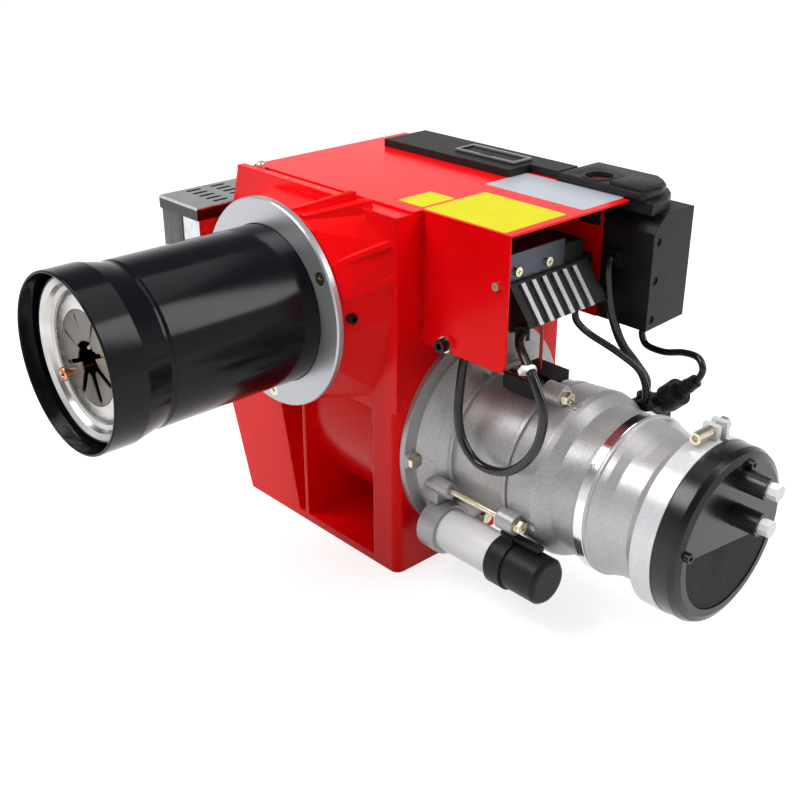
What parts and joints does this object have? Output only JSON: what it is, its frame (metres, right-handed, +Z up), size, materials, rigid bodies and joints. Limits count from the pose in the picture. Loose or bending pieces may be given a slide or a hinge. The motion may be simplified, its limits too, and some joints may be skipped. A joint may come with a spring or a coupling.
{
  "type": "oil burner",
  "caption": "Forced-draught oil burner: red cast fan housing with blast tube and swirl head in front, motor and oil pump on one shaft at the side, air box and controls.",
  "frame": {"origin": "centre of the blast tube at the front face of the mounting flange", "axes": "-Y the firing direction out of the blast tube, +X along the shaft to the motor and pump, +Z up"},
  "size_m": [0.5195, 0.4036, 0.2991],
  "materials": {
    "housing": "glossy stove paint over cast aluminium",
    "mounting_flange": "cast, bead blasted",
    "flange_gasket": "fibre gasket",
    "blast_tube": "satin black",
    "flame_ring": "bright sheet",
    "swirl_disc": "bright sheet",
    "head_brackets": "bright sheet",
    "oil_line": "turned",
    "electrode_set": "glazed",
    "sight_tube": "copper, drawn",
    "line_guide": "cast, bead blasted",
    "fan_wheel": "galvanised",
    "motor_shaft": "ground",
    "rotor": "stacked sheet",
    "stator_core": "stacked sheet",
    "windings": "enamelled copper",
    "stator_shell": "cast and sprayed silver",
    "front_bell": "cast and sprayed silver",
    "rear_bell": "cast, bead blasted",
    "bolts": "zinc plated, yellow",
    "bearing_outer": "ground",
    "bearing_inner": "ground",
    "can_clamp": "cast, bead blasted",
    "capacitor_can": "white film over a can",
    "capacitor_end": "black moulding",
    "locating_ring": "bright sheet",
    "pump_sleeve": "cast, bead blasted",
    "clamp_ring": "dark paint",
    "coupling": "black moulding",
    "pump_block": "cast, bead blasted",
    "pump_rotor": "ground",
    "outer_rotor": "ground",
    "pump_cover": "black",
    "felt_pad": "felt",
    "socket_screws": "black",
    "cross_screws": "zinc plated, yellow",
    "port_fittings": "plated",
    "port_plugs": "white caps",
    "air_box": "bright sheet",
    "air_box_lid": "bright sheet",
    "damper": "bright sheet",
    "damper_lever": "black moulding",
    "folded_cover": "glossy paint on folded sheet",
    "control_bracket": "glossy paint on folded sheet",
    "ignition_case": "black moulding",
    "ignition_metal": "plated",
    "control_strip": "black moulding",
    "window_flap": "black moulding",
    "control_case": "black moulding",
    "reset_button": "red",
    "connector_case": "black moulding",
    "motor_terminals": "black moulding",
    "plug": "black moulding",
    "loop_cable": "cable sheath",
    "box_cable": "cable sheath",
    "plug_cable": "cable sheath",
    "lead_cable": "cable sheath",
    "red_wires": "wire sheath",
    "cable_tie": "white caps"
  },
  "bodies": {
    "burner": {"housing": "housing", "mounting_flange": "mounting_flange", "flange_gasket": "flange_gasket", "blast_tube": "blast_tube", "line_guide": "line_guide", "stator_core": "stator_core", "windings": "windings", "stator_shell": "stator_shell", "front_bell": "front_bell", "rear_bell": "rear_bell", "bolts": "bolts", "bearing_outer": "bearing_outer", "can_clamp": "can_clamp", "capacitor_can": "capacitor_can", "capacitor_end": "capacitor_end", "locating_ring": "locating_ring", "pump_sleeve": "pump_sleeve", "clamp_ring": "clamp_ring", "pump_block": "pump_block", "pump_cover": "pump_cover", "felt_pad": "felt_pad", "socket_screws": "socket_screws", "cross_screws": "cross_screws", "port_fittings": "port_fittings", "port_plugs": "port_plugs", "air_box": "air_box", "air_box_lid": "air_box_lid", "folded_cover": "folded_cover", "control_bracket": "control_bracket", "ignition_case": "ignition_case", "ignition_metal": "ignition_metal", "control_strip": "control_strip", "control_case": "control_case", "connector_case": "connector_case", "motor_terminals": "motor_terminals", "plug": "plug", "loop_cable": "loop_cable", "box_cable": "box_cable", "plug_cable": "plug_cable", "lead_cable": "lead_cable", "red_wires": "red_wires", "cable_tie": "cable_tie"},
    "rotating_line": {"fan_wheel": "fan_wheel", "motor_shaft": "motor_shaft", "rotor": "rotor", "bearing_inner": "bearing_inner", "coupling": "coupling", "pump_rotor": "pump_rotor"},
    "pump_ring": {"outer_rotor": "outer_rotor"},
    "air_damper": {"damper": "damper", "damper_lever": "damper_lever"},
    "combustion_head": {"flame_ring": "flame_ring", "swirl_disc": "swirl_disc", "head_brackets": "head_brackets", "oil_line": "oil_line", "electrode_set": "electrode_set", "sight_tube": "sight_tube"},
    "reset_key": {"reset_button": "reset_button"},
    "view_flap": {"window_flap": "window_flap"}
  },
  "joints": [
    {"name": "motor_spin", "type": "hinge", "parent": "burner", "child": "rotating_line", "pos_m": [0.15, 0.125, -0.1057], "axis": [1, 0, 0], "continuous": true},
    {"name": "pump_ring_spin", "type": "hinge", "parent": "burner", "child": "pump_ring", "pos_m": [0.301, 0.1238, -0.1057], "axis": [1, 0, 0], "continuous": true},
    {"name": "damper_turn", "type": "hinge", "parent": "burner", "child": "air_damper", "pos_m": [-0.126, 0.075, -0.02], "axis": [0, 1, 0], "range_deg": [0, 80]},
    {"name": "head_slide", "type": "slide", "parent": "burner", "child": "combustion_head", "axis": [0, 1, 0], "range_m": [0, 0.018]},
    {"name": "reset_press", "type": "slide", "parent": "burner", "child": "reset_key", "axis": [0, 0, -1], "range_m": [0, 0.003], "stiffness_N_per_m": 250},
    {"name": "flap_lift", "type": "hinge", "parent": "burner", "child": "view_flap", "pos_m": [0.045, 0.197, 0.0875], "axis": [-1, 0, 0], "range_deg": [0, 100]}
  ],
  "couplings": [
    {"joint": "pump_ring_spin", "follows": "motor_spin", "ratio": 0.85714}
  ]
}
